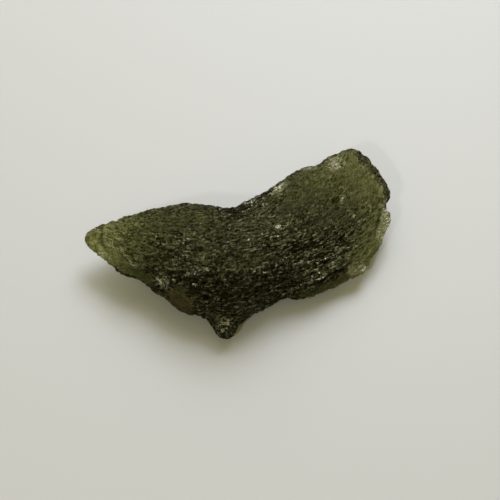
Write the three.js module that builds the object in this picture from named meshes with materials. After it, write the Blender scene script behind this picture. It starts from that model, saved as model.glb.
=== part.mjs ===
// A raw moldavite: one piece of olive-green natural glass that froze as it splashed.
// A pointed lobe on the left and a broad one on the right meet at a waist. The back slopes gently,
// the front drops steeply to a small knob, and the broad lobe thins to a lip at its front.
// Millimetres, +Z up. +X runs from the pointed lobe to the broad one, +Y from front to back.
import * as THREE from "three";
import { ImprovedNoise } from "three/addons/math/ImprovedNoise.js";
import { mergeVertices } from "three/addons/utils/BufferGeometryUtils.js";

// Driving dimensions
const stoneLength = 31.2; // along X, from the tip to the broad lobe's edge
const blankDetail = 30; // cuts along each edge of the octahedron that the stone is shaped from
const centre = new THREE.Vector2(0, 0.5); // where the lines from the rim meet, seen from above
const surveyReach = 2.6; // how far one surveyed height is felt
const farWeight = 1e-6; // what is felt of a height that is out of reach
const softening = [-0.06, -0.04, -0.02, 0, 0.02, 0.04, 0.06]; // shares of the rim averaged together
const lumps = { size: 3.1, height: 0.34, seed: 7.3 }; // broad unevenness of the whole skin
const grain = { size: 1.3, height: 0.2, seed: 2.1 }; // the coarsest of the corroded relief
const reliefAtRim = 0.2; // the share of the relief left at the rim
const pits = { count: 170, narrowest: 0.85, widest: 1.75, depthShare: 0.17 };

// The rim, where the upper face meets the underside: [x, y, z, edge], anticlockwise from above.
// An edge of 1 is round, and a lower one is blunter.
const rimStretches = {
  tip: [
    [-16.5, 1.6, 3.9, 0.85],
    [-16.6, 0.9, 3.8, 0.85],
    [-15.6, -0.3, 3.5, 0.9],
  ],
  pointedLobeFront: [
    [-14.2, -1.5, 3.4, 0.85],
    [-12.8, -2.5, 3.0, 0.9],
    [-11.1, -3.0, 2.8, 0.9],
    [-9.6, -4.2, 2.7, 0.85],
    [-8.7, -4.7, 2.5, 0.8],
  ],
  shellScar: [
    [-8.0, -5.2, 2.4, 0.8],
    [-7.4, -5.8, 2.3, 0.8],
    [-6.3, -6.4, 2.2, 0.75],
    [-5.2, -6.5, 2.0, 0.7],
  ],
  knob: [
    [-4.2, -6.8, 1.6, 0.6],
    [-3.7, -7.4, 1.3, 0.5],
    [-3.2, -8.2, 1.1, 0.45],
    [-2.4, -8.7, 1.0, 0.45],
    [-1.6, -8.4, 1.1, 0.45],
    [-1.2, -7.5, 1.2, 0.5],
    [-0.4, -6.7, 1.4, 0.6],
  ],
  steepFront: [
    [1.1, -5.8, 1.5, 0.65],
    [2.3, -5.1, 1.4, 0.8],
    [3.4, -4.4, 1.2, 1.0],
  ],
  lip: [
    [5.0, -4.4, 1.1, 0.95],
    [6.8, -3.9, 1.2, 1.0],
    [8.3, -3.3, 1.4, 1.0],
    [9.8, -2.6, 1.5, 1.0],
    [11.5, -1.8, 1.7, 1.0],
    [12.3, -0.4, 1.9, 1.0],
    [13.4, 0.9, 2.2, 0.95],
    [13.8, 2.3, 2.4, 0.95],
  ],
  broadLobeEnd: [
    [14.6, 4.0, 2.7, 0.85],
    [14.2, 5.7, 3.0, 0.75],
    [14.7, 6.7, 3.1, 0.7],
    [14.4, 7.7, 3.3, 0.65],
    [13.4, 9.7, 3.5, 0.65],
    [12.3, 11.3, 3.6, 0.65],
    [10.8, 12.2, 3.8, 0.7],
  ],
  broadLobeBack: [
    [8.7, 11.4, 3.5, 0.8],
    [7.3, 10.3, 3.5, 0.75],
    [5.4, 9.7, 3.5, 0.7],
    [3.6, 8.3, 3.5, 0.65],
    [1.6, 6.6, 3.6, 0.65],
    [-0.5, 5.4, 3.6, 0.65],
  ],
  waist: [
    [-1.8, 4.6, 3.6, 0.6],
    [-3.1, 4.3, 3.6, 0.6],
  ],
  pointedLobeBack: [
    [-4.5, 4.8, 3.6, 0.6],
    [-6.2, 5.2, 3.6, 0.6],
    [-8.0, 4.9, 3.6, 0.6],
    [-10.2, 4.5, 3.6, 0.65],
    [-12.1, 3.9, 3.7, 0.7],
    [-13.8, 3.3, 3.8, 0.75],
    [-14.8, 2.7, 4.0, 0.85],
    [-15.8, 2.4, 3.9, 0.85],
  ],
};

// Heights of the upper face, [x, y, z], along the crest and on the slope behind it.
const crown = [
  [-15.4, 0.8, 4.7],
  [-13.3, -0.2, 5.3],
  [-12.5, 2.6, 5.0],
  [-10.6, -2.2, 6.0],
  [-9.8, 1.5, 6.0],
  [-8.1, -3.6, 7.0],
  [-6.0, 0.8, 6.6],
  [-6.2, 4.0, 5.4],
  [-4.7, -4.3, 7.9],
  [-2.4, 1.2, 6.7],
  [-2.4, -7.6, 3.7],
  [-0.9, -4.4, 8.4],
  [-1.4, 4.0, 5.6],
  [1.2, 1.5, 7.0],
  [2.8, -3.6, 8.1],
  [3.2, 6.0, 5.6],
  [4.6, 3.6, 6.1],
  [5.2, -3.4, 6.2],
  [6.8, -1.2, 6.4],
  [7.6, 6.0, 5.0],
  [8.4, -2.6, 3.4],
  [9.4, 1.6, 5.2],
  [10.4, 9.6, 5.3],
  [12.4, 2.2, 3.9],
  [12.9, 6.2, 5.0],
];

// Heights of the underside, [x, y, z]. It bellies down under the crest to the ground.
const belly = [
  [-15.4, 0.8, 2.9],
  [-12.5, 0.5, 1.7],
  [-9.5, -1.5, 0.8],
  [-9.0, 2.5, 1.4],
  [-5.5, -3.5, 0.1],
  [-5.0, 2.5, 0.7],
  [-2.4, -7.4, 0.1],
  [-1.0, -1.0, -0.7],
  [-1.0, 3.0, 0.3],
  [2.5, -3.0, -0.4],
  [3.5, 1.5, -0.6],
  [4.5, 5.5, 0.4],
  [6.0, -3.2, 0.2],
  [7.5, 2.5, 0.1],
  [8.5, 7.5, 0.8],
  [11.0, 0.5, 0.5],
  [11.5, 9.5, 1.4],
  [13.0, 5.5, 1.3],
];

// Shell-shaped scars: a ball of this radius, centred at this point, takes the glass away.
const scars = [
  { name: "smooth window left of the knob", at: [-8.4, -10.4, 4.6], radius: 5.1 },
  { name: "hollow under the crest of the lip", at: [6.6, -9.4, 6.4], radius: 6.6 },
  { name: "chip at the broad lobe's notch", at: [15.4, 4.6, 6.2], radius: 3.3 },
  { name: "bite at the notch", at: [15.6, 5.7, 3.2], radius: 1.3 },
  { name: "flake off the back corner", at: [8.8, 12.4, 7.2], radius: 3.3 },
  { name: "flake off the back edge", at: [4.9, 9.9, 7.2], radius: 2.9 },
  { name: "groove behind the waist", at: [-0.6, 6.4, 7.4], radius: 2.9 },
  { name: "flat on the tip", at: [-17.6, 4.6, 7.0], radius: 4.3 },
];

// The front and top are best seen from above the front, so their markings are placed in a plane
// square to that line of sight: how far right of the middle, and how far up.
const sightElevation = THREE.MathUtils.degToRad(60);

// Ridges, and where the height is negative, furrows. They follow the way the glass flowed.
const flowLines = [
  { height: 0.35, width: 0.8, line: [[-12.5, 0.5], [-10.0, 0.0], [-6.5, -0.4], [-2.5, -0.5], [1.5, 0.0]] },
  { height: 0.3, width: 0.5, line: [[-9.0, -1.5], [-5.0, -1.9], [-1.0, -1.6], [3.0, -0.9], [5.0, -0.2]] },
  { height: 0.3, width: 0.5, line: [[-6.0, -3.2], [-2.5, -3.5], [0.5, -3.0], [3.5, -2.0]] },
  { height: 0.4, width: 0.5, line: [[2.5, -3.5], [3.8, -2.5], [5.8, -1.4], [7.7, -0.8], [9.5, 0.5]] },
  { height: 0.25, width: 0.5, line: [[-15.7, 3.3], [-14.3, 4.2], [-13.8, 3.1], [-13.7, 1.5]] },
  { height: -0.3, width: 0.5, line: [[1.2, 4.3], [3.5, 6.1], [6.2, 7.8], [9.2, 9.1]] },
  { height: -0.25, width: 0.5, line: [[3.4, 1.3], [6.8, 2.0], [10.0, 3.1], [11.8, 4.5]] },
  { height: -0.25, width: 0.5, line: [[4.2, 3.5], [7.5, 5.5], [10.2, 7.7]] },
  { height: -0.25, width: 0.5, line: [[-4.5, 3.9], [-1.8, 4.5], [0.0, 5.5]] },
  { height: -0.2, width: 0.6, line: [[-10.0, 2.7], [-6.5, 3.5], [-3.5, 2.7]] },
  { height: -0.2, width: 0.4, line: [[-12.7, 2.8], [-13.1, 2.3], [-13.3, 1.8]] },
  { height: -0.3, width: 0.5, line: [[-8.0, -2.6], [-4.5, -2.8], [-0.5, -2.3], [3.0, -1.5]] },
];

// Single hollows on the same plane.
const hollows = [
  { name: "under the crest on the left", at: [-9.2, -1.4], width: 1.9, depth: 0.45 },
  { name: "in the knob", at: [-1.9, -6.5], width: 1.1, depth: 0.4 },
  { name: "on the broad lobe", at: [8.4, 6.6], width: 1.4, depth: 0.3 },
  { name: "behind the waist", at: [-1.2, 5.9], width: 1.8, depth: 0.35 },
  { name: "over the steep front", at: [1.6, -2.4], width: 1.8, depth: 0.4 },
  { name: "beside the tip's nick", at: [-14.8, 2.8], width: 1.1, depth: 0.25 },
];

const noise = new ImprovedNoise();

function smoothNoise(point, { size, height, seed }) {
  return height * noise.noise(point.x / size + seed, point.y / size + seed, point.z / size + seed);
}

// The rim and its edge shape, both as closed curves over the same share of the way round.
const rimPoints = Object.values(rimStretches).flat();
const rimCurve = new THREE.CatmullRomCurve3(
  rimPoints.map(([x, y, z]) => new THREE.Vector3(x, y, z)),
  true,
);
const edgeCurve = new THREE.CatmullRomCurve3(
  rimPoints.map(([, , , edge]) => new THREE.Vector3(edge, 0, 0)),
  true,
);

// The height at a point of the plan: the surveyed heights, each weighted by how near it is.
function surveyed(heights, plan) {
  let sum = 0;
  let weights = 0;
  for (const [x, y, z] of heights) {
    const distance = Math.hypot(plan.x - x, plan.y - y) / surveyReach;
    const weight = Math.exp(-distance * distance) + farWeight;
    sum += weight * z;
    weights += weight;
  }
  return sum / weights;
}

// The share of the way round the blank's equator, from the side that becomes the tip.
function shareAround(x, y) {
  const reach = Math.abs(x) + Math.abs(y);
  if (reach === 0) return 0;
  if (x >= 0 && y >= 0) return y / reach / 4;
  if (x < 0 && y >= 0) return (1 - x / reach) / 4;
  if (x < 0) return (2 - y / reach) / 4;
  return (3 + x / reach) / 4;
}

// The rim at a share of the way round. Its corners soften as the climb takes it in from the edge.
function rimAt(share, climb) {
  const softened = new THREE.Vector3();
  for (const step of softening) {
    softened.add(rimCurve.getPointAt(THREE.MathUtils.euclideanModulo(share + step, 1)));
  }
  softened.divideScalar(softening.length);
  return rimCurve.getPointAt(share).lerp(softened, Math.sin(climb) ** 2);
}

// How far a point of the blank is from its equator: 0 there, a quarter turn at the poles.
function climbOf({ x, y, z }) {
  return (z / (Math.abs(x) + Math.abs(y) + Math.abs(z))) * (Math.PI / 2);
}

// Moves a point of the blank to its place on the stone, before the relief.
function shaped(blankPoint) {
  const climb = Math.abs(climbOf(blankPoint));
  const share = shareAround(blankPoint.x, blankPoint.y);
  const rim = rimAt(share, climb);
  const edge = edgeCurve.getPoint(rimCurve.getUtoTmapping(share)).x;
  const plan = centre.clone().lerp(new THREE.Vector2(rim.x, rim.y), Math.cos(climb));
  const rise = Math.sin(climb) ** edge;
  const face = surveyed(blankPoint.z >= 0 ? crown : belly, plan);
  return new THREE.Vector3(plan.x, plan.y, THREE.MathUtils.lerp(rim.z, face, rise));
}

// Where a point lies on the sight plane.
function sighted({ x, y, z }) {
  return new THREE.Vector3(x, y * Math.sin(sightElevation) + z * Math.cos(sightElevation), 0);
}

// How far a point of the sight plane lies from a polyline on it.
function distanceToLine(line, seen) {
  const steps = line.slice(1).map(([right, up], i) => {
    const piece = new THREE.Line3(new THREE.Vector3(...line[i], 0), new THREE.Vector3(right, up, 0));
    return piece.closestPointToPoint(seen, true, new THREE.Vector3()).distanceTo(seen);
  });
  return Math.min(...steps);
}

// How far the named ridges, furrows and hollows stand out at a point.
function markings(point) {
  const seen = sighted(point);
  let out = 0;
  for (const { line, height, width } of flowLines) {
    const share = distanceToLine(line, seen) / width;
    out += height * Math.exp(-share * share);
  }
  for (const { at, width, depth } of hollows) {
    const share = Math.hypot(seen.x - at[0], seen.y - at[1]) / (width / 2);
    out -= depth * Math.exp(-share * share);
  }
  return out;
}

// Pits of mixed widths, spread over the blank by the golden angle and carried to the stone.
function scatterPits() {
  const goldenAngle = Math.PI * (3 - Math.sqrt(5));
  return Array.from({ length: pits.count }, (_, i) => {
    const height = 1 - (2 * (i + 0.5)) / pits.count;
    const spread = Math.sqrt(1 - height * height);
    const turn = i * goldenAngle;
    return {
      at: shaped(new THREE.Vector3(spread * Math.cos(turn), spread * Math.sin(turn), height)),
      width: THREE.MathUtils.lerp(pits.narrowest, pits.widest, Math.sin(i * i) ** 2),
    };
  });
}

// How far the relief stands out from the smooth form at a point. It is gentler at the rim.
function relief(point, climb, scatteredPits) {
  let out = smoothNoise(point, lumps) + smoothNoise(point, grain);
  for (const { at, width } of scatteredPits) {
    const share = point.distanceTo(at) / (width / 2);
    if (share < 1) out -= pits.depthShare * width * (1 - share * share);
  }
  if (climb > 0) out += markings(point);
  return out * THREE.MathUtils.lerp(reliefAtRim, 1, Math.abs(Math.sin(climb)));
}

// Pushes a point out of every scar's ball.
function scarred(point) {
  for (const { at, radius } of scars) {
    const middle = new THREE.Vector3(...at);
    const away = point.clone().sub(middle);
    if (away.length() < radius) point.copy(middle).addScaledVector(away.normalize(), radius);
  }
  return point;
}

function moldaviteGeometry() {
  const blank = new THREE.OctahedronGeometry(1, blankDetail);
  blank.deleteAttribute("normal");
  blank.deleteAttribute("uv");
  const stone = mergeVertices(blank);
  const place = stone.getAttribute("position");
  const point = new THREE.Vector3();
  const climbs = [];
  for (let i = 0; i < place.count; i++) {
    point.fromBufferAttribute(place, i);
    climbs.push(climbOf(point));
    place.setXYZ(i, ...shaped(point));
  }
  stone.computeVertexNormals();

  const outward = new THREE.Vector3();
  const scatteredPits = scatterPits();
  for (let i = 0; i < place.count; i++) {
    point.fromBufferAttribute(place, i);
    outward.fromBufferAttribute(stone.getAttribute("normal"), i);
    scarred(point.addScaledVector(outward, relief(point, climbs[i], scatteredPits)));
    place.setXYZ(i, point.x, point.y, Math.max(point.z, 0)); // the flat spot it rests on
  }

  stone.deleteAttribute("normal");
  stone.computeBoundingBox();
  const { min, max } = stone.boundingBox;
  const scale = stoneLength / (max.x - min.x);
  stone.translate(-(min.x + max.x) / 2, -(min.y + max.y) / 2, 0);
  stone.scale(scale, scale, scale);
  return stone;
}

const moldaviteGlass = new THREE.MeshStandardMaterial({
  color: 0x4a4d2c,
  roughness: 0.55,
  metalness: 0,
  transparent: true,
  opacity: 0.9,
});

const moldavite = new THREE.Mesh(moldaviteGeometry(), moldaviteGlass);
moldavite.name = "moldavite";

const part = new THREE.Group();
part.add(moldavite);

export default part;
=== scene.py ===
# A raw moldavite lying on a pale table: etched olive glass, dark in its belly and clear at its lips.
import math

import bpy
import bmesh
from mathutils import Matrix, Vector


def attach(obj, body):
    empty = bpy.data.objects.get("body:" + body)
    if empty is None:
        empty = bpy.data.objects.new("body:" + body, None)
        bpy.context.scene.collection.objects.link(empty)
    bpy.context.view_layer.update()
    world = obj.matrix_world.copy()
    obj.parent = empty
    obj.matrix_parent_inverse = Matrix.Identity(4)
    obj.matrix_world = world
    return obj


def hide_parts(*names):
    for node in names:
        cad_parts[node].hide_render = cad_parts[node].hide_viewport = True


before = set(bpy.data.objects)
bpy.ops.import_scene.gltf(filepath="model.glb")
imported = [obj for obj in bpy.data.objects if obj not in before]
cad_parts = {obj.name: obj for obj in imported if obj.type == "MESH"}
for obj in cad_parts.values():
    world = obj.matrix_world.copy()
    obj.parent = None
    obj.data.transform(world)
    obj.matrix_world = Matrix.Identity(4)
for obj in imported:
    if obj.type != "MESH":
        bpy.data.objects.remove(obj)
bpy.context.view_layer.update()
millimetre = 0.001  # m
middle = 0.5  # what noise is on average
markSlope = 1.8  # how steeply a mark rises from its rim: above 1, its middle is whole
print("stage 1: frame loaded")


class Value:
    # A number or a vector in a node tree. Arithmetic on it adds Math nodes.
    def __init__(self, nodes, socket):
        self.nodes = nodes
        self.socket = socket

    def maths(self, operation, *others, clamp=False):
        return self.nodes.add("ShaderNodeMath", {"operation": operation, "use_clamp": clamp},
                              {i: v for i, v in enumerate((self, *others))})

    def __add__(self, other):
        return self.maths("ADD", other)

    def __radd__(self, other):
        return self.maths("ADD", other)

    def __sub__(self, other):
        return self.maths("SUBTRACT", other)

    def __rsub__(self, other):
        return self.nodes.add("ShaderNodeMath", {"operation": "SUBTRACT"}, {0: other, 1: self})

    def __mul__(self, other):
        return self.maths("MULTIPLY", other)

    def __rmul__(self, other):
        return self.maths("MULTIPLY", other)

    def __truediv__(self, other):
        return self.maths("DIVIDE", other)

    def __rtruediv__(self, other):
        return self.nodes.add("ShaderNodeMath", {"operation": "DIVIDE"}, {0: other, 1: self})

    def __pow__(self, other):
        return self.maths("POWER", other)

    def clamped(self):
        return self.maths("ADD", 0.0, clamp=True)

    def atLeast(self, least):
        return self.maths("MAXIMUM", least)

    def size(self):
        return self.maths("ABSOLUTE")


class Nodes:
    # A node tree being built. Every node comes from add.
    def __init__(self, tree):
        self.tree = tree

    def add(self, kind, settings=None, inputs=None, output=0):
        node = self.tree.nodes.new(kind)
        for name, value in (settings or {}).items():
            setattr(node, name, value)
        for name, value in (inputs or {}).items():
            if isinstance(value, Value):
                self.tree.links.new(value.socket, node.inputs[name])
            else:
                node.inputs[name].default_value = value
        return Value(self, node.outputs[output]) if node.outputs else node

    def parts(self, vector):
        split = self.add("ShaderNodeSeparateXYZ", None, {0: vector})
        outputs = split.socket.node.outputs
        return [Value(self, outputs[i]) for i in range(3)]

    def joined(self, x, y, z):
        return self.add("ShaderNodeCombineXYZ", None, {0: x, 1: y, 2: z})

    def scaled(self, vector, factor):
        return self.add("ShaderNodeVectorMath", {"operation": "SCALE"}, {0: vector, "Scale": factor})

    def moved(self, vector, step):
        return self.add("ShaderNodeVectorMath", {"operation": "ADD"}, {0: vector, 1: step})

    def near(self, place, centre, reach):
        # 1 round the centre, falling to 0 at the reach.
        distance = self.add("ShaderNodeVectorMath", {"operation": "DISTANCE"},
                            {0: place, 1: centre}, "Value")
        return ((1.0 - distance / reach) * markSlope).clamped()

    def nearestOn(self, place, start, end):
        # The point on a straight line that lies nearest to the place.
        course = Vector(end) - Vector(start)
        passed = self.moved(place, tuple(-Vector(start)))
        reached = self.add("ShaderNodeVectorMath", {"operation": "DOT_PRODUCT"},
                           {0: passed, 1: tuple(course / course.length_squared)}, "Value").clamped()
        return self.moved(self.scaled(tuple(course), reached), start)

    def mixed(self, share, first, second):
        return self.add("ShaderNodeMix", {"data_type": "RGBA"}, {0: share, 6: first, 7: second}, 2)

    def noise(self, vector, scale, detail=2.0, rough=0.5, output=0):
        return self.add("ShaderNodeTexNoise", {"noise_dimensions": "3D"},
                        {"Vector": vector, "Scale": scale, "Detail": detail, "Roughness": rough}, output)

    def ruffled(self, vector, scale, reach):
        # The same places, pushed about by noise so that cells on them aren't regular.
        push = self.moved(self.noise(vector, scale, output=1), (-middle, -middle, -middle))
        return self.moved(vector, self.scaled(push, reach / middle))

    def carried(self, name):
        # What the mesh keeps under a name.
        return self.add("ShaderNodeAttribute", {"attribute_name": name}, None, "Fac")

    def kept(self, geometry, name, value):
        return self.add("GeometryNodeStoreNamedAttribute", {"data_type": "FLOAT", "domain": "POINT"},
                        {"Geometry": geometry, "Name": name, "Value": value})

    def cells(self, vector, scale):
        # How far each place is from the middle of its cell.
        return self.add("ShaderNodeTexVoronoi", {"feature": "F1"},
                        {"Vector": vector, "Scale": scale, "Randomness": 1.0}, "Distance")


# How the glass flowed before it froze: along arcs round a point behind the waist.
flow = {
    "centre": (-5.0, 17.0),  # mm
    "radius": 20.0,  # mm from the centre to the arc that the lengths along the flow are measured on
    "stretch": 0.26,  # how much shorter a length along the flow counts than one across it
}


def flowSpace(nodes, place):
    # A place in millimetres, turned so that its second part runs along the flow and is stretched.
    x, y, z = nodes.parts(place)
    across = x - flow["centre"][0]
    back = y - flow["centre"][1]
    radius = (across * across + back * back) ** 0.5
    turn = across.maths("ARCTAN2", back * -1.0)
    along = turn * (flow["radius"] * flow["stretch"])
    return nodes.joined(radius, along, z)


# What the eye picks out on the stone, in millimetres. A place has one point and a line has two ends,
# and the last number says how far the mark reaches from there.
marks = {
    "flakes": [  # small fresh chips, each with a painted highlight
        ((3.7, -0.9, 6.6), 0.45),
        ((2.5, 2.3, 5.7), 0.4),
        ((0.8, -2.7, 7.2), 0.25),
        ((2.4, -3.3, 7.0), 0.25),
        ((-8.2, -5.5, 4.3), 0.3),
        ((-7.5, -5.6, 4.7), 0.25),
        ((-6.4, -6.1, 5.0), 0.25),
        ((-7.4, -2.3, 5.7), 0.3),
        ((10.9, 1.6, 4.4), 0.25),
        ((11.5, 1.9, 4.2), 0.25),
        ((10.4, 3.7, 4.5), 0.3),
        ((14.8, 3.2, 3.3), 0.5),
        ((12.4, -3.2, 2.2), 0.35),
        ((10.4, 8.7, 4.6), 0.4),
    ],
    "frosted": [  # pale, scratched patches
        ((3.8, 4.3, 5.2), 0.9),
        ((9.9, 8.2, 4.6), 1.6),
        ((11.9, -3.2, 2.3), 1.1),
        ((-1.6, -9.8, 2.9), 0.95),
        ((-7.5, -5.8, 4.5), 1.0),
        ((1.0, 3.1, 5.0), 0.9),
    ],
    "smooth": [  # broken faces that the ground hasn't pitted
        ((-5.8, -7.6, 3.1), 2.2),
    ],
    "lenses": [  # clear, unpitted ends
        ((-14.7, -1.1, 3.9), 1.7),
    ],
    "holes": [  # deep pits, darkened with painted shade
        ((9.7, 3.5, 4.4), 0.45),
        ((11.8, 7.5, 4.6), 0.35),
        ((-0.8, 1.7, 5.2), 0.7),
        ((0.2, 2.2, 5.2), 0.6),
    ],
    "shaded": [  # painted shade: dark bands on the front under the crest, in the groove at the waist and along the rim
        ((-6.2, -6.9, 4.4), (4.2, -6.6, 4.4), 2.6),
        ((-1.4, 1.5, 5.3), (1.4, 2.7, 5.2), 1.5),
        ((1.4, 2.9, 5.1), (4.8, 5.6, 4.6), 0.6),
        ((12.8, 9.3, 4.3), (14.6, 6.6, 4.0), 1.2),
        ((14.8, 6.6, 3.9), (15.5, 4.4, 3.4), 0.9),
        ((15.4, 2.2, 2.8), (14.0, -1.2, 2.2), 0.4),
        ((14.0, -1.2, 2.2), (12.6, -3.6, 1.8), 0.4),
        ((12.6, -3.6, 1.8), (8.0, -5.7, 1.7), 0.5),
    ],
    "dim": [  # painted shade at half strength: the hollow between the crest and the broad lobe
        ((-4.5, -2.6, 6.7), (2.5, -1.0, 6.9), 3.4),
        ((2.5, -1.5, 6.9), (9.5, -2.2, 4.2), 3.0),
    ],
    "paintedEdgeGlow": [  # painted glow: thin edges made paler, where the light shines through them
        ((12.2, -2.8, 2.3), (14.0, 0.6, 2.9), 2.0),
        ((-13.4, -2.4, 3.9), (-9.2, -5.2, 3.5), 0.9),
        ((6.4, -6.2, 1.8), (11.6, -4.0, 1.8), 0.9),
    ],
    "paintedBacklight": [  # painted light: the broad lobe's back half, made paler where the light comes in from behind
        ((6.5, 4.4, 4.9), (12.0, 6.4, 4.6), 4.2),
    ],
    "scuffed": [  # paler strips with a dusty surface
        ((15.0, 2.6, 3.1), (14.5, 0.4, 2.7), 0.8),
        ((9.7, 8.7, 4.6), (9.6, 7.3, 4.7), 0.6),
        ((3.4, 4.0, 5.2), (4.5, 5.0, 5.2), 0.5),
        ((6.2, 7.6, 4.1), (7.7, 7.6, 4.3), 0.45),
        ((11.2, -3.7, 2.4), (12.6, -3.1, 2.1), 0.6),
    ],
    "creases": [  # narrow cuts, darkened with painted shade: behind the clear tip, inside the scuffed chip and under the crest
        ((-13.9, 0.3, 4.3), (-13.9, -1.3, 4.1), 0.28),
        ((-13.9, -1.3, 4.1), (-13.2, -2.4, 3.9), 0.28),
        ((14.3, 3.0, 3.5), (14.0, 1.2, 3.2), 0.28),
        ((14.0, 1.2, 3.2), (13.9, -0.1, 2.9), 0.28),
        ((4.7, -6.4, 2.2), (6.6, -5.8, 2.8), 0.35),
        ((6.6, -5.8, 2.8), (8.6, -4.9, 3.0), 0.3),
    ],
    "seams": [  # fine raised lines, with painted highlights along them
        ((4.2, -6.3, 2.3), (5.2, -6.0, 3.0), 0.22),
        ((5.2, -6.0, 3.0), (6.4, -5.5, 3.3), 0.22),
        ((6.4, -5.5, 3.3), (8.7, -4.6, 3.4), 0.22),
        ((5.7, -5.4, 3.7), (7.9, -4.5, 3.6), 0.18),
        ((7.9, -4.5, 3.6), (10.2, -2.5, 3.6), 0.18),
        ((3.5, -4.9, 6.0), (4.6, -4.0, 5.7), 0.25),
        ((1.3, -6.1, 6.8), (2.9, -4.9, 6.6), 0.25),
        ((4.6, -4.6, 5.4), (7.4, -3.5, 4.4), 0.2),
        ((7.4, -3.5, 4.4), (9.4, -2.7, 3.8), 0.2),
        ((-5.2, -6.0, 5.9), (-3.0, -5.8, 6.7), 0.3),
        ((-13.0, -1.7, 4.3), (-11.5, -2.4, 4.4), 0.3),
    ],
}


def marked(nodes, place, kind):
    # How much a point belongs to the marks of one kind, from 0 to 1.
    share = 0.0
    for *ends, reach in marks[kind]:
        nearest = ends[0] if len(ends) == 1 else nodes.nearestOn(place, *ends)
        share = nodes.near(place, nearest, reach) + share
    return share.clamped()


# The glass itself.
glass = {
    "ior": 1.49,
    "gloss": (0.36, 0.34, 0.13, 1.0),  # the etched skin dulls and tints what it mirrors
    "absorbed": (0.205, 0.195, 0.42),  # what each millimetre takes of red, green and blue
    "clearness": 0.88,  # the rest of the light meets the etched, frosted skin
    "deepTints": ((0.024, 0.025, 0.009, 1.0), (0.285, 0.29, 0.105, 1.0)),  # of its dark and light specks
    "thinTints": ((0.15, 0.15, 0.05, 1.0), (0.76, 0.75, 0.33, 1.0)),
    "brownTint": (0.34, 0.27, 0.12, 1.0),
    "shadeTint": (0.012, 0.011, 0.004, 1.0),
    "faceTint": (0.06, 0.043, 0.014, 1.0),
    "fleckTint": (0.64, 0.64, 0.34, 1.0),
    "frostTint": (0.88, 0.85, 0.6, 1.0),
    "frostShine": 0.45,  # how much of a metal's mirror the pale marks have
    "shadeShine": 0.6,  # the same for the shaded glass, which its near-black tint then darkens
    "thinAt": 1.0,  # mm of glass that count as thin, and those that count as deep
    "deepAt": 4.8,
    "thinCurve": 1.5,  # above 1, the pale tints keep to the thinnest glass
    "roughness": 0.22,
    "bumpHeight": 0.25,  # mm
}
# The marks etched into its skin, with the painted shade and painted light laid over them: how fine they
# are, and how much of each goes into the next.
etch = {
    "speckleScale": 5.0,  # per mm, as the other four scales
    "strokeScale": 4.5,
    "wormScale": 3.2,
    "patchScale": 0.45,
    "brownScale": 0.3,
    "octaves": 1.0,  # how many finer copies of itself a noise holds, but for the patches
    "grit": 0.6,  # how strong those copies are in the speckles and strokes
    "wormGain": 10.0,  # the thinness of the worms, the winding lines that the flecks follow
    "steepGain": 2.0,  # what gets painted shade: steep flanks, the front and the dim hollow
    "steepLevel": 1.1,
    "frontGain": 1.1,
    "dimShare": 0.5,
    "fleckSpeckle": 0.45,  # flecks, light specks that are also painted glints: where a worm crosses light speckles and strokes
    "fleckStroke": 0.55,
    "fleckLevel": 0.44,
    "fleckShade": 0.04,
    "fleckGain": 11.0,
    "speckleHeight": 0.7,  # the height that the bump shows
    "strokeHeight": 1.2,
    "heightLevel": 0.95,
    "fleckHeight": 0.3,
    "smoothLoss": 0.7,
    "brightPallor": 0.12,  # painted light: how far the lobe's back and the lit edges are paled like thin glass
    "litPallor": 0.08,
    "dustHeight": 2.6,  # dust: the light specks, most of them on raised and worn spots
    "dustWorn": 0.9,
    "wornLevel": 0.5,
    "dustPatch": 0.6,
    "dustLevel": 0.22,
    # painted light: how much paler the dust is made on the lit edges and on the lobe's back
    "dustLit": 0.5,
    "dustBright": 0.27,
    "brownGain": 4.0,  # brown clouds in the dust
    "brownLevel": 0.45,
    "brownShare": 0.5,
    "faceShare": 0.8,  # how fully the dark tints cover the broken face, the painted shade and the creases, whose darkness is painted shade too
    "shadeShare": 0.85,
    "creaseShare": 0.8,
    "grains": {  # gain and level of the speckles that break up each kind of pale mark
        "frosted": (3.6, 1.6),
        "flakes": (3.0, 0.7),
        "seams": (1.8, 0.75),
        "scuffed": (2.2, 0.4),
    },
    "fleckShare": 0.38,  # how strongly the flecks show, and what thin glass takes off that
    "fleckThinLoss": 0.05,
    "scuffDullness": 0.4,
    "patchRoughness": 0.3,
    "dustRoughness": 0.15,
}


def grained(nodes, place, speckle, kind):
    # The marks of one kind, broken up by the speckles.
    gain, level = etch["grains"][kind]
    return marked(nodes, place, kind) * (speckle * gain - level).clamped()


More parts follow.
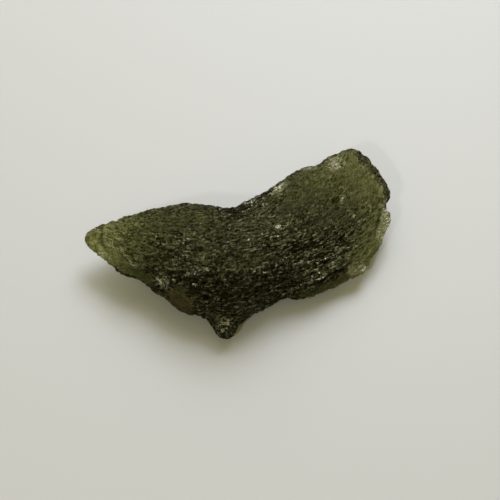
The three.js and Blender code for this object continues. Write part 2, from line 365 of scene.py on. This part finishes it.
def skinMarks(nodes, place):
    # The marks of the etched skin, with its painted shade and painted edge glow, as shares from 0 to 1,
    # and the height that the marks make together.
    flowing = flowSpace(nodes, place)
    speckle = nodes.noise(place, etch["speckleScale"], etch["octaves"], etch["grit"])
    strokes = nodes.noise(flowing, etch["strokeScale"], etch["octaves"], etch["grit"])
    winding = (nodes.noise(flowing, etch["wormScale"], etch["octaves"]) - middle).size()
    worms = (1.0 - winding * etch["wormGain"]).clamped()
    faces = marked(nodes, place, "smooth")
    smooth = (faces + marked(nodes, place, "lenses")).clamped()
    paintedEdgeGlow = marked(nodes, place, "paintedEdgeGlow")
    # Painted shade: darker on steep flanks, on the front, in the dim hollow and on the listed shaded
    # bands, but not on the smooth places or the painted edge glow.
    turned = nodes.carried("steep") * etch["steepGain"] - etch["steepLevel"]
    front = nodes.carried("front") * etch["frontGain"]
    shaded = (marked(nodes, place, "shaded") + turned.clamped() + front
              + marked(nodes, place, "dim") * etch["dimShare"]).clamped()
    shaded = (shaded - smooth - paintedEdgeGlow).clamped()
    # The flecks are light specks and painted glints at once.
    crossed = (speckle * etch["fleckSpeckle"] + strokes * etch["fleckStroke"] - etch["fleckLevel"]
               - shaded * etch["fleckShade"])
    flecks = (worms * crossed * etch["fleckGain"]).clamped() * (1.0 - smooth)
    height = (speckle * etch["speckleHeight"] + strokes * etch["strokeHeight"] - etch["heightLevel"]
              + flecks * etch["fleckHeight"]) * (1.0 - smooth * etch["smoothLoss"])
    return speckle, faces, smooth, paintedEdgeGlow, shaded, flecks, height


def moldaviteGlass():
    material = bpy.data.materials.new("moldaviteGlass")
    material.use_nodes = True
    material.node_tree.nodes.clear()
    nodes = Nodes(material.node_tree)
    place = nodes.scaled(nodes.add("ShaderNodeTexCoord", None, None, "Object"), 1.0 / millimetre)
    speckle, faces, smooth, paintedEdgeGlow, shaded, flecks, height = skinMarks(nodes, place)
    bump = nodes.add("ShaderNodeBump", None,
                     {"Strength": 1.0, "Distance": glass["bumpHeight"] * millimetre, "Height": height})

    # The glass, from dark specks to dust: paler where it is thin, with painted light on the lit edges and
    # on the broad lobe's back, and painted shade darkening it.
    patches = nodes.noise(place, etch["patchScale"])
    depth = (nodes.carried("thickness") - glass["thinAt"]) / (glass["deepAt"] - glass["thinAt"])
    thin = (1.0 - depth).clamped()
    paintedBacklight = marked(nodes, place, "paintedBacklight")
    pallor = (thin ** glass["thinCurve"] + paintedBacklight * etch["brightPallor"]
              + paintedEdgeGlow * etch["litPallor"]).clamped()
    tints = [nodes.mixed(pallor, deep, edge) for deep, edge in zip(glass["deepTints"], glass["thinTints"])]
    wear = nodes.carried("worn") - etch["wornLevel"]
    dustAndPaintedLight = (height * etch["dustHeight"] + wear * etch["dustWorn"]
            + (patches - middle) * etch["dustPatch"] + etch["dustLevel"]).clamped()
    dustAndPaintedLight = dustAndPaintedLight + paintedEdgeGlow * etch["dustLit"] + paintedBacklight * etch["dustBright"]
    tint = nodes.mixed(dustAndPaintedLight.clamped(), *tints)
    clouds = nodes.noise(place, etch["brownScale"], etch["octaves"]) - etch["brownLevel"]
    brown = (clouds * etch["brownGain"] + smooth).clamped() * etch["brownShare"]
    tint = nodes.mixed(brown * dustAndPaintedLight, tint, glass["brownTint"])
    tint = nodes.mixed(faces * etch["faceShare"], tint, glass["faceTint"])
    # Painted shade: the near-black tint over the shaded glass.
    tint = nodes.mixed(shaded * etch["shadeShare"], tint, glass["shadeTint"])

    # The pale marks on it with their painted highlights and painted glints, and the painted shade in the
    # holes and creases over those.
    frostAndPaintedHighlights = (grained(nodes, place, speckle, "frosted") + grained(nodes, place, speckle, "flakes")
            + grained(nodes, place, speckle, "seams"))
    scuffs = grained(nodes, place, speckle, "scuffed")
    fleckShare = etch["fleckShare"] - thin * etch["fleckThinLoss"]
    # Painted glints and highlights: the flecks, flakes and seams are paled and given a metal's mirror,
    # along with the real frost and scuffs.
    frostAndPaintedGlints = (frostAndPaintedHighlights + scuffs + flecks * fleckShare).clamped()
    whiteningOfMarksAndGlints = (frostAndPaintedHighlights + scuffs + shaded).clamped()
    tint = nodes.mixed(frostAndPaintedGlints, tint, nodes.mixed(whiteningOfMarksAndGlints, glass["fleckTint"], glass["frostTint"]))
    creases = marked(nodes, place, "creases") * etch["creaseShare"]
    paintedCutShade = (marked(nodes, place, "holes") + creases).clamped()
    tint = nodes.mixed(paintedCutShade, tint, glass["shadeTint"])

    shine = (frostAndPaintedGlints - scuffs * etch["scuffDullness"]) * (1.0 - paintedCutShade) * glass["frostShine"]
    clouded = (patches - middle) * etch["patchRoughness"] + glass["roughness"]
    shader = nodes.add("ShaderNodeBsdfPrincipled", None, {
        "Base Color": tint,
        # Painted shade: the shaded glass takes a near-black metal's mirror, which darkens it further.
        "Metallic": (shine + (shaded + faces) * glass["shadeShine"]).clamped(),
        "Roughness": clouded + dustAndPaintedLight * etch["dustRoughness"],
        "IOR": glass["ior"],
        "Specular Tint": glass["gloss"],
        "Transmission Weight": glass["clearness"],
        "Normal": bump,
    })
    strongest = max(glass["absorbed"])
    body = nodes.add("ShaderNodeVolumeAbsorption", None, {
        "Color": (*[1.0 - part / strongest for part in glass["absorbed"]], 1.0),
        "Density": strongest / millimetre,
    })
    nodes.add("ShaderNodeOutputMaterial", None, {"Surface": shader, "Volume": body})
    return material


# The weathered skin: what the ground's acids ate out of the glass, in millimetres.
weathering = {
    "Cup width": 1.5,
    "Cup depth": 0.02,
    "Pit width": 0.7,
    "Pit depth": 0.14,
    "Grain width": 0.48,
    "Grain depth": 0.2,
    "Furrow width": 0.4,
    "Furrow depth": 0.06,
    "Flake depth": 0.12,
    "Hole depth": 0.3,
    "Crease depth": 0.15,
    "Seam height": 0.08,
    "Swell": 0.07,  # gives back what smoothing takes off
}
# How the hollows are shaped.
hollows = {
    "cupWall": 2.4,  # how soon the walls rise from the floor of each kind
    "pitWall": 2.8,
    "grainWall": 2.8,
    "furrowWall": 5.0,
    "unevenScale": 1.6,  # per mm, of the noise that pushes the cells about
    "unevenReach": 0.3,  # mm, how far it pushes them
    "smoothLoss": 0.8,  # what the smooth places and the lenses lack of it all
    "grainWear": 0.6,  # how much of the wear that the material reads comes from grains
    "furrowWear": 0.4,
    "probeDepth": 0.05,  # mm below the skin, where the ray that measures the thickness sets out
    "probeReach": 12.0,  # mm
}
refinement = 2  # how often the solid's faces are divided
weldWithin = 0.0001  # mm, between corners that are the same point


def bowl(cells, wall):
    # A hollow in each cell: 1 in its middle, 0 from the top of its wall on.
    return (1.0 - cells * cells * wall).clamped()


def weatheringTree(material):
    tree = bpy.data.node_groups.new("weathering", "GeometryNodeTree")
    tree.interface.new_socket("Geometry", in_out="INPUT", socket_type="NodeSocketGeometry")
    for name in weathering:
        tree.interface.new_socket(name, in_out="INPUT", socket_type="NodeSocketFloat")
    tree.interface.new_socket("Geometry", in_out="OUTPUT", socket_type="NodeSocketGeometry")
    nodes = Nodes(tree)
    source = nodes.add("NodeGroupInput")
    outputs = source.socket.node.outputs
    given = {name: Value(nodes, outputs[name]) for name in weathering}

    position = nodes.add("GeometryNodeInputPosition")
    normal = nodes.add("GeometryNodeInputNormal")
    inward = nodes.scaled(normal, -1.0)
    start = nodes.moved(position, nodes.scaled(normal, -hollows["probeDepth"] * millimetre))
    through = nodes.add("GeometryNodeRaycast", None, {
        "Target Geometry": source,
        "Source Position": start,
        "Ray Direction": inward,
        "Ray Length": hollows["probeReach"] * millimetre,
    }, "Hit Distance")
    measured = nodes.kept(source, "thickness", through / millimetre)
    tilt = nodes.parts(normal)
    measured = nodes.kept(measured, "steep", 1.0 - tilt[2].size())
    measured = nodes.kept(measured, "front", (tilt[1] * -1.0).clamped())

    place = nodes.scaled(position, 1.0 / millimetre)
    uneven = nodes.ruffled(place, hollows["unevenScale"], hollows["unevenReach"])
    flowing = flowSpace(nodes, place)
    cups = nodes.cells(uneven, 1.0 / given["Cup width"])
    pits = nodes.cells(uneven, 1.0 / given["Pit width"])
    grains = nodes.cells(uneven, 1.0 / given["Grain width"])
    fine = bowl(grains, hollows["grainWall"])
    furrows = (nodes.noise(flowing, 1.0 / given["Furrow width"]) - middle).size()
    groove = (1.0 - furrows * hollows["furrowWall"]).clamped()
    eaten = (bowl(cups, hollows["cupWall"]) * given["Cup depth"]
             + bowl(pits, hollows["pitWall"]) * given["Pit depth"]
             + fine * given["Grain depth"] + groove * given["Furrow depth"])
    smooth = (marked(nodes, place, "smooth") + marked(nodes, place, "lenses")).clamped()
    taken = (eaten * (1.0 - smooth * hollows["smoothLoss"])
             + marked(nodes, place, "flakes") * given["Flake depth"]
             + marked(nodes, place, "holes") * given["Hole depth"]
             + marked(nodes, place, "creases") * given["Crease depth"]
             - marked(nodes, place, "seams") * given["Seam height"])
    outward = nodes.scaled(normal, (given["Swell"] - taken) * millimetre)
    x, y, z = nodes.parts(nodes.moved(position, outward))
    moved = nodes.add("GeometryNodeSetPosition", None,
                      {"Geometry": measured, "Position": nodes.joined(x, y, z.atLeast(0.0))})
    wear = (1.0 - fine) * hollows["grainWear"] + (1.0 - groove) * hollows["furrowWear"]
    weathered = nodes.kept(moved, "worn", wear)
    realised = nodes.add("GeometryNodeRealizeInstances", None, {"Geometry": weathered})
    finished = nodes.add("GeometryNodeSetMaterial", None, {"Geometry": realised, "Material": material})
    nodes.add("NodeGroupOutput", None, {"Geometry": finished})
    return tree


def buildStone(material):
    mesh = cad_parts["moldavite"].data.copy()
    mesh.name = "moldaviteStone"
    mesh.materials.clear()
    shell = bmesh.new()
    shell.from_mesh(mesh)
    bmesh.ops.remove_doubles(shell, verts=shell.verts, dist=weldWithin * millimetre)
    for face in shell.faces:
        face.smooth = True
    shell.to_mesh(mesh)
    shell.free()
    stone = bpy.data.objects.new("moldaviteStone", mesh)
    bpy.context.scene.collection.objects.link(stone)

    finer = stone.modifiers.new("finer", "SUBSURF")
    finer.levels = refinement
    finer.render_levels = refinement
    tree = weatheringTree(material)
    weather = stone.modifiers.new("weather", "NODES")
    weather.node_group = tree
    for item in tree.interface.items_tree:
        if item.item_type == "SOCKET" and item.in_out == "INPUT" and item.name in weathering:
            weather[item.identifier] = weathering[item.name]
    evaluated = stone.evaluated_get(bpy.context.evaluated_depsgraph_get())
    finished = bpy.data.meshes.new_from_object(evaluated)
    stone.modifiers.clear()
    stone.data = finished
    finished.name = "moldaviteStone"
    print("stone:", len(finished.vertices), "vertices,", len(finished.polygons), "faces")
    return stone


stone = buildStone(moldaviteGlass())
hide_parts("moldavite")
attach(stone, "root")
print("stage 2: stone weathered")


# The pale table and the soft light: a warm room, a broad ceiling and a window behind the stone, and a
# small lamp before it that makes the glints.
studio = {
    "floorHalf": 1.5,  # m
    "floorColour": (0.74, 0.735, 0.725, 1.0),
    "floorRoughness": 0.6,
    "sky": (1.0, 0.91, 0.38, 1.0),
    "skyStrength": 0.235,
    "lamps": {  # place in m, width in m, power in W, colour
        "ceiling": ((0.01, 0.22, 0.235), 0.32, 0.45, (0.985, 0.995, 1.06)),
        "window": ((0.06, 0.19, 0.24), 0.15, 0.42, (0.94, 0.99, 1.14)),
        "glint": ((-0.12, -0.2, 0.22), 0.02, 0.12, (1.0, 1.0, 1.0)),
    },
}


def buildFloor():
    half = studio["floorHalf"]
    mesh = bpy.data.meshes.new("tableTop")
    corners = [(-half, -half, 0), (half, -half, 0), (half, half, 0), (-half, half, 0)]
    mesh.from_pydata(corners, [], [(0, 1, 2, 3)])
    floor = bpy.data.objects.new("tableTop", mesh)
    bpy.context.scene.collection.objects.link(floor)
    material = bpy.data.materials.new("paleCard")
    material.use_nodes = True
    material.node_tree.nodes.clear()
    nodes = Nodes(material.node_tree)
    shader = nodes.add("ShaderNodeBsdfPrincipled", None,
                       {"Base Color": studio["floorColour"], "Roughness": studio["floorRoughness"]})
    nodes.add("ShaderNodeOutputMaterial", None, {"Surface": shader})
    mesh.materials.append(material)


def buildLight():
    scene = bpy.context.scene
    world = bpy.data.worlds.new("softRoom")
    world.use_nodes = True
    background = world.node_tree.nodes["Background"]
    background.inputs["Color"].default_value = studio["sky"]
    background.inputs["Strength"].default_value = studio["skyStrength"]
    scene.world = world
    for name, (place, width, power, colour) in studio["lamps"].items():
        lamp = bpy.data.lights.new(name, "AREA")
        lamp.shape = "SQUARE"
        lamp.size = width
        lamp.energy = power
        lamp.color = colour
        panel = bpy.data.objects.new(name, lamp)
        panel.location = place
        panel.rotation_mode = "QUATERNION"
        panel.rotation_quaternion = Vector(place).to_track_quat("Z", "Y")
        scene.collection.objects.link(panel)
    scene.view_settings.view_transform = "Standard"


# The camera, looking down at the stone as in the photo.
camera = {
    "lens": 70.0,  # mm
    "sensor": 36.0,  # mm
    "nearest": 0.001,  # m, the closest that it sees
    "elevation": 60.0,  # degrees
    "distance": 97.2,  # mm
    "target": (1.0, -1.8, 3.5),  # mm
}


def buildCamera():
    data = bpy.data.cameras.new("camera")
    data.lens = camera["lens"]
    data.sensor_width = camera["sensor"]
    data.clip_start = camera["nearest"]
    lookout = bpy.data.objects.new("camera", data)
    rise = math.radians(camera["elevation"])
    back = Vector((0.0, -math.cos(rise), math.sin(rise)))
    lookout.location = (Vector(camera["target"]) + back * camera["distance"]) * millimetre
    lookout.rotation_mode = "QUATERNION"
    lookout.rotation_quaternion = back.to_track_quat("Z", "Y")
    bpy.context.scene.collection.objects.link(lookout)
    bpy.context.scene.camera = lookout


buildFloor()
buildLight()
buildCamera()
print("stage 3: table, light and camera")
